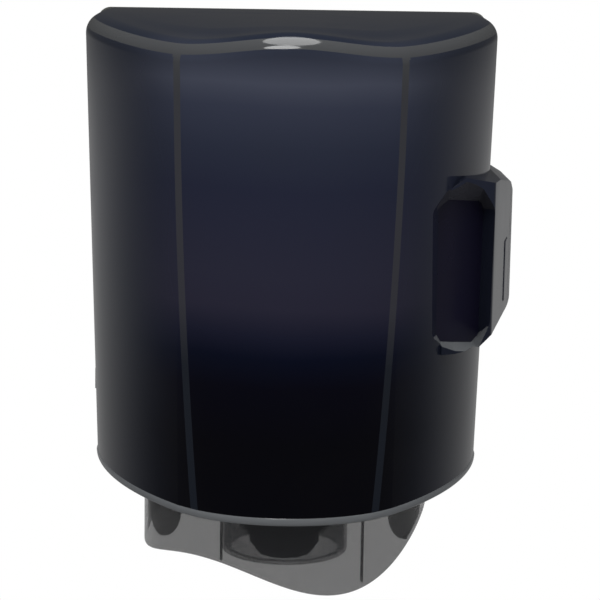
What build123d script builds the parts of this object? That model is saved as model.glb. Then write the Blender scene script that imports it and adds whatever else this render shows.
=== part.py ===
from build123d import *
import math
import os

# Wall-mounted centrefeed roll dispenser, in millimetres.
# X runs to the user's right, Y towards the wall, Z up. The wall is the plane Y = 0,
# and the origin is the middle of the four wall screws.

# Cover
cover_top = 144.0
rim_z = -144.0
half_top = 131.0
half_rim = 123.2
depth_top = 262.0
depth_rim = 250.0
side_corner_y = -80.0
cover_back_y = -11.0
wall = 2.8
lip_width = 12.0
lip_height = 3.0
top_round = 9.0
inner_chamfer = 3.6
rim_round = 1.8

# Front panel and the creases beside it
crease_top = 62.0
crease_rim = 50.0
front_radius_top = 100.0
front_radius_rim = 90.0
crease_band = 5.5
wedge_top = 2.5
wedge_rim = 11.0
wedge_start_z = -35.0
side_bulge = 11.5

# Top face: it falls towards the front, and is crowned over the front panel
top_fall = 25.0
top_crown = 18.0
crown_width = 55.0

# Latch boss and finger pocket
boss_seam_y = -63.0
boss_left = (92.0, -188.0)
boss_front = (123.0, -171.0)
boss_widest = (147.0, -47.0)
boss_inner_x = 112.0
boss_outline = [(60, 16), (83, 33), (104, 49), (129, 46), (144, 37), (147, 30), (147, -44), (125, -50), (113, -61), (60, -61)]
boss_corner = 4.5
pocket_floor = ((85.5, -197.5), (118.0, -158.0))
pocket_wall = (123.5, -173.0)
pocket_side_x = 84.0
pocket_foot = (-50.0, -56.0)
pocket_head = (35.0, 31.0)
pocket_arch = [(84, 31), (105, 47), (124, 33)]
pocket_low = -60.0
pocket_slopes = (30.0, 38.0)
pocket_corner = 5.0
pocket_skin = 2.5

# Latch button, hooks and springs
button_y = -88.0
button_z = -17.0
button_width = 15.4
button_height = 39.4
button_proud = 0.5
button_gap = 0.3
hook_z = (-1.0, -27.0)
hook_plate = (127.0, 130.0)
hook_barb = 133.0
hook_tip_y = -50.0
hook_root_y = -66.0
frame_x = (112.5, 115.0)
frame_y = (-112.5, -66.0)
frame_z = (-44.0, 22.0)
frame_post_x = 121.0
frame_post_y = -160.0
frame_reach = 129.0
spring_wire = 0.8
spring_radius = 3.2
spring_turns = 5
keeper_y = (-60.0, -57.5)

# Rear housing
plate = 3.0
plate_round = 20.0
rim_depth = 8.0
screw_pitch_x = 150.0
screw_pitch_z = 190.0
screw_hole = 2.75
roof_gap = 8.0
roof_thick = 2.5
roof_reach = -120.0
roof_rib_x = (-85.0, -51.0, -17.0, 17.0, 51.0, 85.0)
flange_x = -119.0
swing_clear = 249.0

# Hinge on the left
hinge_x = -123.5
hinge_y = -12.0
hinge_pin = 1.6
hinge_barrel = 4.0
hinge_centres = (103.0, -103.0)
knuckle = 14.0
knuckle_gap = 0.4

# Tray, skirt and nozzle under the roll
roll_radius = 100.0
roll_y = -125.0
tray_z = -137.0
tray_thick = 3.0
tray_inset = 5.0
tray_back_y = -14.0
tray_screw_inset = 6.7
cradle_height = 32.0
cradle_wall = 2.5
throat = 41.0
skirt_radius = 89.0
skirt_wall = 2.2
skirt_flange = 3.0
skirt_level = -179.5
skirt_lean = -5.0
skirt_two_lobes = (-7.2, 4.9)
skirt_three_lobes = -13.3
skirt_rib_angles = (31, 149, 211, 329)
skirt_pad_angles = (62, 118, 242, 298)
cup_radius = 40.0
cup_wall = 1.8
cup_flange = 50.0
cup_low = -193.0
funnel_wall = 1.6
funnel_low = -180.0
funnel_flute = (28.0, 26.4)
nozzle_radius = 22.0
nozzle_low = -195.5
nozzle_bore = 8.0
flutes = 12

# Screws: shank radius, head radius and head height
screw = (1.5, 2.8, 1.8)


def share(z):
    return (z - rim_z) / (cover_top - rim_z)


def plan_points(z, inset):
    # Half of the cover's outline at height z: crease, band, wedge, side corner
    t = share(z)
    half = half_rim + (half_top - half_rim) * t
    depth = depth_rim + (depth_top - depth_rim) * t
    crease = crease_top - (crease_top - crease_rim) * (1 - t) ** 2
    radius = front_radius_rim + (front_radius_top - front_radius_rim) * t
    low = max(0.0, (wedge_start_z - z) / (wedge_start_z - rim_z))
    wedge = wedge_top + (wedge_rim - wedge_top) * low
    turn = math.asin(crease / radius)
    sag = radius - math.sqrt(radius**2 - crease**2)
    a = (crease, sag - depth)
    band_turn = turn + math.radians(5)
    b = (a[0] + crease_band * math.cos(band_turn), a[1] + crease_band * math.sin(band_turn))
    wedge_turn = turn + math.radians(9)
    c = (b[0] + wedge * math.cos(wedge_turn), b[1] + wedge * math.sin(wedge_turn))
    d = (half, side_corner_y)
    chord = math.atan2(d[1] - c[1], d[0] - c[0])
    bulge = side_bulge
    m = ((c[0] + d[0]) / 2 + bulge * math.sin(chord), (c[1] + d[1]) / 2 - bulge * math.cos(chord))

    def moved(point, angle):
        return (point[0] - inset * math.sin(angle), point[1] + inset * math.cos(angle))

    half_step = math.radians(2.5)
    return {
        "front": (0.0, inset - depth),
        "crease": moved(a, turn + half_step),
        "band": moved(b, turn + 3 * half_step),
        "wedge": moved(c, turn + 5 * half_step),
        "side": moved(m, chord),
        "corner": (d[0] - inset, d[1]),
    }


def plan_face(z, inset, back_y):
    p = plan_points(z, inset)

    def left(name):
        return (-p[name][0], p[name][1])

    edges = [
        ThreePointArc(left("crease"), p["front"], p["crease"]),
        Line(p["crease"], p["band"]),
        Line(p["band"], p["wedge"]),
        ThreePointArc(p["wedge"], p["side"], p["corner"]),
        Line(p["corner"], (p["corner"][0], back_y)),
        Line((p["corner"][0], back_y), (-p["corner"][0], back_y)),
        Line((-p["corner"][0], back_y), left("corner")),
        ThreePointArc(left("corner"), left("side"), left("wedge")),
        Line(left("wedge"), left("band")),
        Line(left("band"), left("crease")),
    ]
    return Pos(0, 0, z) * make_face(edges)


def body_form(inset, back_y, low, high):
    # The tapering body between two heights, moved inwards by inset
    levels = [low] + [z for z in (-110, -75, wedge_start_z, 40) if low + 5 < z < high] + [high]
    return loft([plan_face(z, inset, back_y) for z in levels], ruled=True)


def top_height(x, y):
    bell = math.exp(-((x / crown_width) ** 2))
    return cover_top + (y / depth_top) * (top_fall - top_crown * bell)


def above_top(drop):
    # Everything over the top face, once that is lowered by drop
    grid = [[Vector(x, y, top_height(x, y) - drop) for y in (-290, -140, 10)] for x in range(-165, 166, 15)]
    face = Face.make_surface_from_array_of_points(grid)
    return extrude(face, amount=120, dir=(0, 0, 1))


def front_prism(points, back_y, front_y, corner):
    # An outline drawn in the front view with its outer corners rounded, from back_y forward to front_y
    outline = make_face(Polyline(*[(x, z) for x, z in points], close=True))
    outline = fillet(outline.vertices().filter_by(lambda v: v.X > 110), corner)
    return Pos(0, back_y, 0) * extrude(Plane.XZ * outline, amount=back_y - front_y)


def boss_form(inset, back_y, front_y):
    nose = (boss_front[0] - inset * 1.2, boss_front[1] + inset)
    wide = (boss_widest[0] - inset, boss_widest[1])
    left = (boss_left[0], boss_left[1] + inset)
    plan = make_face(Polyline((60, -140), left, nose, wide, (wide[0], 0), (60, 0), close=True))
    solid = Pos(0, 0, -100) * extrude(plan, amount=200)
    edge = solid.edges().filter_by(Axis.Z).sort_by_distance((nose[0], nose[1], 0))[0]
    solid = fillet(edge, 7 - inset)
    shape = [(x - (inset if x > 100 else 0), z - inset * math.copysign(1, z)) for x, z in boss_outline]
    solid &= front_prism(shape, 5, -260, boss_corner - max(inset, 0))
    return solid & Pos(100, (back_y + front_y) / 2, 0) * Box(200, back_y - front_y, 300)


def pocket_form(grow):
    # The finger pocket as a block cut by the planes of its floor, walls, foot, head and arch
    (ax, ay), (bx, by) = pocket_floor
    run = Vector(bx - ax, by - ay, 0).normalized()
    back = Vector(-run.Y, run.X, 0)
    reach = Vector(pocket_wall[0] - bx, pocket_wall[1] - by, 0).normalized()
    planes = [(Vector(ax, ay, 0), back), (Vector(bx, by, 0), Vector(-reach.Y, reach.X, 0))]
    planes += [(Vector(pocket_side_x, 0, 0), Vector(-1, 0, 0)), (Vector(0, 0, pocket_low), Vector(0, 0, -1))]
    for heights, slope, up in ((pocket_foot, pocket_slopes[0], -1), (pocket_head, pocket_slopes[1], 1)):
        along = Vector(bx - ax, by - ay, heights[1] - heights[0]).normalized()
        rise = math.radians(slope)
        outward = back * -math.cos(rise) + Vector(0, 0, up * math.sin(rise))
        away = along.cross(outward)
        planes.append((Vector(ax, ay, heights[0]), away if away.Z * up > 0 else -away))
    for (x1, z1), (x2, z2) in zip(pocket_arch, pocket_arch[1:]):
        planes.append((Vector(x1, 0, z1), Vector(z1 - z2, 0, x2 - x1).normalized()))
    solid = Pos(100, -190, 0) * Box(60, 100, 160)
    for point, away in planes:
        solid = split(solid, bisect_by=Plane(origin=point + away * grow, z_dir=away), keep=Keep.BOTTOM)
    corners = solid.edges().filter_by(lambda e: abs(e.tangent_at(0.5).dot(back)) > 0.6)
    return fillet(corners, pocket_corner + grow)


def rounded_body(inset, back_y, low, soften, size):
    # The body below the top face, with the edge around that face filleted or chamfered
    solid = body_form(inset, back_y, low, 170) - above_top(inset)
    top = solid.faces().sort_by(Axis.Z)[-1]
    edges = top.edges().filter_by(lambda e: e.center().Y < back_y - 1)
    return soften(edges, size)


def block(x, y, z):
    # A box from its limits along the three axes
    size = (x[1] - x[0], y[1] - y[0], z[1] - z[0])
    return Pos(*((a[0] + a[1]) / 2 for a in (x, y, z))) * Box(*size)


def rod(centre, radius, low, high):
    # An upright cylinder
    return Pos(centre[0], centre[1], (low + high) / 2) * Cylinder(radius, high - low)


def rod_along_y(x, z, radius, front, back):
    return Pos(x, (front + back) / 2, z) * Rot(90, 0, 0) * Cylinder(radius, back - front)


def ring(centre, outer, inner, low, high):
    return rod(centre, outer, low, high) - rod(centre, inner, low - 1, high + 1)


def polar(radius, degrees, centre_y=roll_y):
    # A place around the roll's axis, where 0 degrees faces the user
    angle = math.radians(degrees)
    return (radius * math.sin(angle), centre_y - radius * math.cos(angle))


def tray_screw_places():
    # Three screws on each side join the cover's lip and the tray
    p = plan_points(rim_z, wall + tray_screw_inset)
    half = [(p["corner"][0], -35.0), p["side"], p["crease"]]
    return half + [(-x, y) for x, y in half]


def make_cover():
    full = rounded_body(0, 0, rim_z + rim_round, fillet, top_round)
    full += loft([plan_face(rim_z, rim_round, 0), plan_face(rim_z + rim_round, 0, 0)], ruled=True)
    outer = full & block((-200, 200), (-300, cover_back_y), (-200, 200))
    inner = rounded_body(wall, 5, rim_z + lip_height, chamfer, inner_chamfer)
    mouth = body_form(wall + lip_width, 5, rim_z - 1, rim_z + lip_height + 1)
    boss = boss_form(0, boss_seam_y, -210)
    cover = outer + boss - inner - boss_form(wall, boss_seam_y + 1, -210) - mouth
    cover -= boss_form(-0.5, 5, boss_seam_y)
    for x, y in tray_screw_places():
        cover += rod((x, y), 4.2, rim_z + lip_height, tray_z)
        cover -= rod((x, y), screw[0] + 0.1, rim_z - 1, tray_z + 1)
        cover -= rod((x, y), screw[1] + 0.2, rim_z - 1, rim_z + screw[2])
    skin = (outer + boss) & pocket_form(pocket_skin)
    cover = cover + skin
    for z in (frame_z[0] + 6, frame_z[1] - 6):
        cover += rod_along_y(frame_post_x, z, 3.4, frame_post_y, frame_y[0])
    cover -= pocket_form(0)
    for z in (frame_z[0] + 6, frame_z[1] - 6):
        cover -= rod_along_y(frame_post_x, z, screw[0] + 0.02, frame_y[0] - 7, frame_y[0])
    hole_z = (button_z - button_height / 2 - button_gap, button_z + button_height / 2 + button_gap)
    hole_y = (button_y - button_width / 2 - button_gap, button_y + button_width / 2 + button_gap)
    cover -= block((130, 160), hole_y, hole_z)
    for z in hinge_centres:
        reach = knuckle / 2 + 13.5
        cover -= block((-140, -119), (-20, 0), (z - reach, z + reach))
        arm = block((-129, hinge_x + hinge_barrel), (-38, hinge_y), (z - knuckle / 2, z + knuckle / 2))
        barrel = rod((hinge_x, hinge_y), hinge_barrel, z - knuckle / 2, z + knuckle / 2)
        cover += arm + barrel
        cover -= rod((hinge_x, hinge_y), hinge_pin + 0.08, z - knuckle, z + knuckle)
    return cover


def make_rear_housing():
    full = rounded_body(0, 0, tray_z, fillet, top_round)
    hollow = rounded_body(wall, 5, tray_z - 1, chamfer, inner_chamfer)
    housing = full & block((-200, 200), (-plate, 0), (-200, 200))
    wall_foot = tray_z + tray_thick + cradle_height + 1
    rim = (full - hollow) & block((-110, 200), (-rim_depth, -plate), (wall_foot, 200))
    housing += rim - boss_form(-0.3, 0, boss_seam_y)
    roof = Polyline((-117, -plate), (-117, roof_reach), (115, roof_reach), (123, -90), (123, -plate), close=True)
    sides = Pos(0, 0, 60) * extrude(make_face(roof), amount=140)
    sides &= rod((hinge_x, hinge_y), swing_clear, 60, 200)
    housing += (sides & above_top(roof_gap + roof_thick)) - above_top(roof_gap)
    for x in roof_rib_x:
        rib = block((x - 1, x + 1), (roof_reach + 2, -plate), (60, 200))
        housing += (rib & above_top(roof_gap + 1)) - above_top(roof_gap - 3)
    for x in (-60, -20, 20, 60):
        housing += block((x - 1, x + 1), (-plate - 5, -plate), (wall_foot, 118))
    housing += block((flange_x, flange_x + 2.5), (-30, -plate), (wall_foot, 118))
    housing += block((116, 118.5), (-30, -plate), (56, 118))
    for z in hinge_centres:
        for side in (-1, 1):
            middle = z + side * (knuckle / 2 + knuckle_gap + 5)
            housing += rod((hinge_x, hinge_y), hinge_barrel, middle - 5, middle + 5)
            housing += block(
                (hinge_x - hinge_barrel, hinge_x + hinge_barrel), (hinge_y, -plate), (middle - 5, middle + 5)
            )
        housing -= rod((hinge_x, hinge_y), hinge_pin + 0.03, z - 30, z + 30)
    for x in (-screw_pitch_x / 2, screw_pitch_x / 2):
        for z in (-screw_pitch_z / 2, screw_pitch_z / 2):
            housing += rod_along_y(x, z, 9, -plate - 1.5, -plate)
            housing -= rod_along_y(x, z, screw_hole, -20, 5)
    for x, z in block_screw_places:
        housing -= rod_along_y(x, z, screw[0] + 0.02, -20, 5)
        housing -= rod_along_y(x, z, screw[1] + 0.2, -screw[2] - 0.1, 5)
    return housing


def screw_at(place, length=8):
    # A screw pointing along +Z, with its head's seat at z = 0
    shank, head, height = screw
    body = Pos(0, 0, length / 2) * Cylinder(shank, length)
    cap = Pos(0, 0, -height / 2) * Cylinder(head, height)
    cross = Pos(0, 0, -height) * (Box(3.2, 0.7, 1.6) + Box(0.7, 3.2, 1.6))
    return place * (body + cap - cross)


def group(pieces):
    return Compound(children=list(pieces))


def make_latch_block():
    outside = boss_form(0, -plate, boss_seam_y + 1) & block((boss_inner_x, 200), (-100, 0), (-200, 200))
    inside = boss_form(3, -plate - 3, boss_seam_y) & block((boss_inner_x + 3, 200), (-100, 0), (-200, 200))
    solid = outside - inside
    for x, z in keeper_screw_places:
        solid += rod_along_y(x, z, 4.2, keeper_y[1], -plate)
        solid -= rod_along_y(x, z, screw[0] + 0.02, keeper_y[1] - 1, keeper_y[1] + 12)
    for x, z in block_screw_places:
        solid += rod_along_y(x, z, 4.2, -20, -plate)
        solid -= rod_along_y(x, z, screw[0] + 0.02, -12, 0)
    return solid


def make_latch_keeper():
    solid = boss_form(3.3, keeper_y[1], keeper_y[0]) & block((boss_inner_x + 3.3, 200), (-100, 0), (-200, 200))
    for z in hook_z:
        solid -= block((hook_plate[0] - 5, hook_barb + 0.3), (-70, -50), (z - 6.5, z + 6.5))
    for x, z in keeper_screw_places:
        solid -= rod_along_y(x, z, screw[0] + 0.1, -70, -50)
    return solid


def make_tray():
    face = plan_face(tray_z, tray_inset, tray_back_y)
    core = plan_face(tray_z, tray_inset + cradle_wall, tray_back_y + 5)
    solid = extrude(face, amount=tray_thick + cradle_height)
    solid -= Pos(0, 0, tray_thick) * extrude(core, amount=cradle_height)
    top = tray_z + tray_thick
    solid += block((-112, 112), (tray_back_y - cradle_wall, tray_back_y), (top, top + 6))
    for k in range(8):
        rib = Pos(76, 0, top + 2) * Box(40, 2, 4)
        solid += Pos(0, roll_y, 0) * Rot(0, 0, 22.5 + 45 * k) * rib
    for x, y in tray_screw_places():
        solid += rod((x, y), 4.2, top, top + 8)
        solid -= rod((x, y), screw[0] + 0.02, tray_z - 1, top + 7)
    solid -= rod((0, roll_y), throat, tray_z - 1, top + 10)
    for k in range(4):
        solid -= rod(polar(45.6, 45 + 90 * k), screw[0] + 0.02, tray_z - 1, top + 1)
        solid -= rod(polar(81, 90 * k), screw[0] + 0.02, tray_z - 1, top + 5)
    return solid


def skirt_edge(x, v):
    # Height of the wavy lower edge above a place x, v around the roll's axis: a lean,
    # two lobes and three lobes, which only depend on the direction once r is the radius
    r = skirt_radius
    two = skirt_two_lobes[0] * (v * v - x * x) / r**2 - skirt_two_lobes[1] * 2 * x * v / r**2
    three = skirt_three_lobes * (3 * x * v * v - x**3) / r**3
    return skirt_level - skirt_lean * v / r + two + three


def make_skirt():
    centre = (0, roll_y)
    top = tray_z
    solid = ring(centre, skirt_radius, skirt_radius - skirt_wall, -215, top)
    solid += ring(centre, skirt_radius + 1.5, 74, top - skirt_flange, top)
    for angle in skirt_rib_angles:
        rib = Pos(0, -(skirt_radius - skirt_wall - 1.5), (top - 215) / 2) * Box(1.4, 4, top + 215)
        solid += Pos(0, roll_y, 0) * Rot(0, 0, angle) * rib
    shell = ring(centre, skirt_radius - skirt_wall + 0.1, skirt_radius - skirt_wall - 1.6, -190, top)
    for angle in skirt_pad_angles:
        pad = Pos(0, 0, -152) * Box(44, 200, 30) + Pos(0, 0, -152) * Rot(90, 0, 0) * Cylinder(22, 200)
        half = Pos(0, -100, 0) * pad
        solid += shell & (Pos(0, roll_y, 0) * Rot(0, 0, angle) * half)
    span = skirt_radius + 10
    steps = [span * (k / 5 - 1) for k in range(11)]
    grid = [[Vector(x, roll_y + v, skirt_edge(x, v)) for v in steps] for x in steps]
    face = Face.make_surface_from_array_of_points(grid)
    solid -= extrude(face, amount=120, dir=(0, 0, -1))
    for k in range(4):
        solid -= rod(polar(81, 90 * k), screw[0] + 0.1, top - 10, top + 1)
    return solid


def make_nozzle_cup():
    centre = (0, roll_y)
    seat = tray_z + tray_thick
    solid = ring(centre, cup_radius, cup_radius - cup_wall, cup_low, seat)
    solid += ring(centre, cup_flange, cup_radius - cup_wall, seat, seat + 2)
    solid += ring(centre, cup_radius - cup_wall + 0.1, cup_radius - 6, cup_low, cup_low + cup_wall)
    for k in range(4):
        solid -= rod(polar(45.6, 45 + 90 * k), screw[0] + 0.1, seat - 1, seat + 5)
    return solid


def fluted(radius_out, radius_in, z):
    # A closed outline whose radius goes in and out once for each flute
    count = 2 * flutes
    places = [polar((radius_out, radius_in)[k % 2], 360 * k / count) for k in range(count)]
    return Pos(0, 0, z) * make_face(Polyline(*places, close=True))


def make_nozzle_funnel():
    centre = (0, roll_y)
    top = tray_z + tray_thick + 2
    wide = cup_radius - cup_wall - 1
    out = loft([fluted(wide, wide, top), fluted(*funnel_flute, funnel_low)], ruled=True)
    inside = loft(
        [fluted(wide - funnel_wall, wide - funnel_wall, top + 0.01),
         fluted(funnel_flute[0] - funnel_wall, funnel_flute[1] - funnel_wall, funnel_low + 1.5)],
        ruled=True,
    )
    solid = out - inside
    solid += ring(centre, cup_flange - 8, wide - 2, top, top + 1.5)
    solid -= rod(centre, nozzle_radius + 0.6, funnel_low - 1, funnel_low + 5)
    return solid


def make_nozzle_tip():
    centre = (0, roll_y)
    seat = funnel_low + 1.5
    body = loft([fluted(nozzle_radius, nozzle_radius - 1.2, seat), fluted(nozzle_radius, nozzle_radius - 1.2, nozzle_low + 6),
                 fluted(nozzle_radius - 5, nozzle_radius - 6, nozzle_low)], ruled=True)
    body += rod(centre, nozzle_radius + 2.4, seat, seat + 2)
    bore = Pos(0, roll_y, (seat + 2 + nozzle_low + 1.5) / 2) * Cone(nozzle_bore, nozzle_radius - 3, seat + 0.5 - nozzle_low)
    body -= bore
    body -= rod(centre, nozzle_bore, nozzle_low - 1, nozzle_low + 5)
    for k in range(6):
        slit = Pos(10.5, 0, nozzle_low + 2) * Box(9, 0.8, 6)
        body -= Pos(0, roll_y, 0) * Rot(0, 0, 60 * k) * slit
    return body


def make_nozzle_ring():
    seat = funnel_low + 3.5
    return ring((0, roll_y), nozzle_radius + 2.4, nozzle_radius - 1.5, seat, seat + 2)


def make_hinge_pin(z):
    reach = knuckle / 2 + knuckle_gap + 10
    head_z = z + reach
    pin = rod((hinge_x, hinge_y), hinge_pin, z - reach - 0.5, head_z)
    return pin + rod((hinge_x, hinge_y), hinge_pin + 1, head_z, head_z + 1.2)


def make_latch_frame():
    low, high = frame_z
    front, back = frame_y
    solid = block(frame_x, frame_y, frame_z)
    solid += block((frame_x[0], frame_reach), (front, front + 2.5), frame_z)
    for z in (low, high - 2.5):
        solid += block((frame_x[0], frame_reach), (front, -78), (z, z + 2.5))
    for z in (low + 6, high - 6):
        solid -= rod_along_y(frame_post_x, z, screw[0] + 0.1, front - 1, front + 4)
    for z in spring_places:
        solid += Pos((frame_x[1] + 2), button_y, z) * Rot(0, 90, 0) * Cylinder(spring_radius - 1, 4)
    return solid


def make_latch_button():
    nose, wide = boss_front, boss_widest
    lean = (wide[0] - nose[0]) / (wide[1] - nose[1])

    def outer_x(y):
        return nose[0] + (y - nose[1]) * lean + button_proud

    low, high = button_y - button_width / 2, button_y + button_width / 2
    root = hook_plate[1]
    cap = make_face(Polyline((root, low), (outer_x(low), low), (outer_x(high), high), (root, high), close=True))
    solid = Pos(0, 0, button_z - button_height / 2) * extrude(cap, amount=button_height)
    face = solid.faces().sort_by(Axis.X)[-1]
    solid = fillet(face.edges(), 1.0)
    stop = button_proud + wall + 0.6
    low, high = low - 3, high + 3
    rim = make_face(
        Polyline(
            (outer_x(low) - stop - 2, low), (outer_x(low) - stop, low),
            (outer_x(high) - stop, high), (outer_x(high) - stop - 2, high), close=True,
        )
    )
    return solid + Pos(0, 0, button_z - button_height / 2 - 3) * extrude(rim, amount=button_height + 6)


def make_latch_hooks():
    solid = block(hook_plate, (-99, hook_root_y), (hook_z[1] - 12, hook_z[0] + 12))
    for z in hook_z:
        solid += block(hook_plate, (hook_root_y, hook_tip_y), (z - 5, z + 5))
        barb = make_face(
            Polyline((hook_plate[1], keeper_y[1] + 0.5), (hook_barb, keeper_y[1] + 0.5), (hook_barb, -54),
                     (hook_plate[1], hook_tip_y), close=True)
        )
        solid += Pos(0, 0, z - 5) * extrude(barb, amount=10)
    return solid


def make_latch_spring(z):
    length = hook_plate[0] - frame_x[1] - spring_wire
    steps = 10 * spring_turns
    turns = [2 * math.pi * k / 10 for k in range(steps + 1)]
    path = Polyline(
        *[(spring_radius * math.cos(t), spring_radius * math.sin(t), length * t / turns[-1]) for t in turns]
    )
    section = Plane(path @ 0, z_dir=path % 0) * RegularPolygon(spring_wire / 2, 6)
    coil = sweep(section, path, transition=Transition.RIGHT)
    return Pos(frame_x[1] + spring_wire / 2, button_y, z) * Rot(0, 90, 0) * coil


spring_places = (button_z + 12.5, button_z - 12.5)
keeper_screw_places = ((122.0, 26.0), (122.0, -42.0))
block_screw_places = ((134.0, 22.0), (135.0, -38.0))
up, down = Rot(0, 0, 0), Rot(180, 0, 0)
from_front = Rot(-90, 0, 0)
from_back = Rot(90, 0, 0)
foot = tray_z + tray_thick

parts = {
    "rear_housing": make_rear_housing(),
    "latch_block": make_latch_block(),
    "latch_keeper": make_latch_keeper(),
    "keeper_screws": group(screw_at(Pos(x, keeper_y[0], z) * from_front) for x, z in keeper_screw_places),
    "block_screws": group(screw_at(Pos(x, -screw[2], z) * from_back) for x, z in block_screw_places),
    "tray": make_tray(),
    "tray_screws": group(screw_at(Pos(x, y, rim_z + screw[2]), 12) for x, y in tray_screw_places()),
    "skirt": make_skirt(),
    "skirt_screws": group(screw_at(Pos(*polar(81, 90 * k), tray_z - skirt_flange)) for k in range(4)),
    "nozzle_cup": make_nozzle_cup(),
    "cup_screws": group(screw_at(Pos(*polar(45.6, 45 + 90 * k), foot + 2) * down) for k in range(4)),
    "nozzle_funnel": make_nozzle_funnel(),
    "nozzle_tip": make_nozzle_tip(),
    "nozzle_ring": make_nozzle_ring(),
    "hinge_pin_upper": make_hinge_pin(hinge_centres[0]),
    "hinge_pin_lower": make_hinge_pin(hinge_centres[1]),
    "cover": make_cover(),
    "latch_frame": make_latch_frame(),
    "frame_screws": group(
        screw_at(Pos(frame_post_x, frame_y[0] + 2.5, z) * from_back) for z in (frame_z[0] + 6, frame_z[1] - 6)
    ),
    "latch_button": make_latch_button(),
    "latch_hooks": make_latch_hooks(),
    "latch_springs": group(make_latch_spring(z) for z in spring_places),
}

os.makedirs("parts", exist_ok=True)
for name, shape in parts.items():
    print(name, len(shape.solids()), round(shape.volume))
    export_step(shape, f"parts/{name}.step")
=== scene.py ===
import math

import bmesh
import bpy
from mathutils import Matrix, Vector


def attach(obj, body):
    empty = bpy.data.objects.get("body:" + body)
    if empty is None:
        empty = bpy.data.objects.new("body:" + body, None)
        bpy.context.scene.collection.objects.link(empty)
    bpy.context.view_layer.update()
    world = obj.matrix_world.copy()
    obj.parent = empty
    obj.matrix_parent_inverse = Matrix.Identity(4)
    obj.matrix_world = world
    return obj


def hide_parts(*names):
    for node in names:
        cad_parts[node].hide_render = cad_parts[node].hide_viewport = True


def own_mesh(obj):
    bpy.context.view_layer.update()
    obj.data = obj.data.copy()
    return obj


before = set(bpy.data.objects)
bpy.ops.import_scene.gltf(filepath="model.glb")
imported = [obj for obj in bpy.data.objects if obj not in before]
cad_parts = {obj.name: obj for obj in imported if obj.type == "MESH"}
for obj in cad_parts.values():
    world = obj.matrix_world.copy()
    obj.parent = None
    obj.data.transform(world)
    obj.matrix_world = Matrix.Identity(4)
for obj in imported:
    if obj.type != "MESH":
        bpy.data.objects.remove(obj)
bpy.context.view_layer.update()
mm = 0.001
quarterTurn = math.pi / 2
print("frame loaded")


def feed(tree, node, values):
    # links or sets the sockets of a node, by name or by number
    for key, value in values.items():
        socket = node.inputs[key]
        if isinstance(value, bpy.types.NodeSocket):
            tree.links.new(value, socket)
        else:
            socket.default_value = value


def addNode(tree, kind, inputs=None, **settings):
    node = tree.nodes.new(kind)
    node.location = (200 * len(tree.nodes), 0)
    for name, value in settings.items():
        setattr(node, name, value)
    feed(tree, node, inputs or {})
    return node


def output(tree, kind, inputs=None, **settings):
    return addNode(tree, kind, inputs, **settings).outputs[0]


def calc(tree, operation, *values):
    return output(tree, "ShaderNodeMath", dict(enumerate(values)), operation=operation)


def joined(tree, parts, kind="GeometryNodeJoinGeometry", socket=0, **settings):
    # several links into one socket
    node = addNode(tree, kind, **settings)
    for part in parts:
        tree.links.new(part, node.inputs[socket])
    return node.outputs[0]


def addObject(name, data):
    item = bpy.data.objects.new(name, data)
    bpy.context.scene.collection.objects.link(item)
    return item


def rawPiece(name, bm):
    # also makes the tools for the cuts further down, which are deleted once they have been used
    bmesh.ops.recalc_face_normals(bm, faces=bm.faces)
    mesh = bpy.data.meshes.new(name)
    bm.to_mesh(mesh)
    bm.free()
    mesh.shade_smooth()
    return addObject(name, mesh)


def meshPiece(name, bm, smoothAngle=30):
    bmesh.ops.remove_doubles(bm, verts=bm.verts, dist=2e-6)
    piece = rawPiece(name, bm)
    piece.data.set_sharp_from_angle(angle=math.radians(smoothAngle))
    return piece


def paint(piece, *names):
    piece.data.materials.clear()
    for name in names:
        piece.data.materials.append(finishes[name])


def bridgeLoops(bm, loops, closed=True, capped=False):
    # quads between neighbouring rings of vertices
    for lower, upper in zip(loops, loops[1:]):
        count = len(lower)
        for i in range(count if closed else count - 1):
            j = (i + 1) % count
            bm.faces.new((lower[i], lower[j], upper[j], upper[i]))
    if capped:
        bm.faces.new(loops[0])
        bm.faces.new(loops[-1])


def ringOfVerts(bm, points):
    return [bm.verts.new([c * mm for c in p]) for p in points]


# cover, in millimetres as in the frame's drawing
cover = {
    "top": 144.0, "rim": -144.0, "halfTop": 131.0, "halfRim": 123.2,
    "depthTop": 261.75, "depthRim": 250.0, "cornerY": -80.0, "backY": -11.0,
    "wall": 2.8, "lip": 12.0, "lipHeight": 3.0, "topRound": 13.0, "topPlan": 126.0, "rimRound": 1.8,
    "creaseTop": 62.0, "creaseRim": 50.0, "bendTop": 100.0, "bendRim": 90.0,
    "band": 5.5, "bandTurn": 5.0, "creaseTurn": 2.5, "bulge": 11.5,
    "wedgeTop": 2.5, "wedgeRim": 11.0, "wedgeStart": -35.0, "wedgeTurn": 9.0,
    "fall": 17.0, "crown": 10.0, "crownWidth": 55.0, "bead": 0.7, "beadHeight": 5.0, "wallTop": 100.0,
    "frontSteps": 64, "sideSteps": 36, "flankSteps": 6, "roundSteps": 14, "topSteps": 26, "wallSteps": 34,
    "beadSteps": 10, "sharpAngle": 13,
}


def arcThrough(start, middle, end, steps):
    # points of the circle through three places, without the last one
    (ax, ay), (bx, by), (cx, cy) = start, middle, end
    d = 2 * (ax * (by - cy) + bx * (cy - ay) + cx * (ay - by))
    sa, sb, sc = ax * ax + ay * ay, bx * bx + by * by, cx * cx + cy * cy
    ux = (sa * (by - cy) + sb * (cy - ay) + sc * (ay - by)) / d
    uy = (sa * (cx - bx) + sb * (ax - cx) + sc * (bx - ax)) / d
    radius = math.hypot(ax - ux, ay - uy)
    first, last = math.atan2(ay - uy, ax - ux), math.atan2(cy - uy, cx - ux)
    sweep = (last - first + math.pi) % (2 * math.pi) - math.pi
    turns = [first + sweep * i / steps for i in range(steps)]
    return [(ux + radius * math.cos(t), uy + radius * math.sin(t)) for t in turns]


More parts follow.
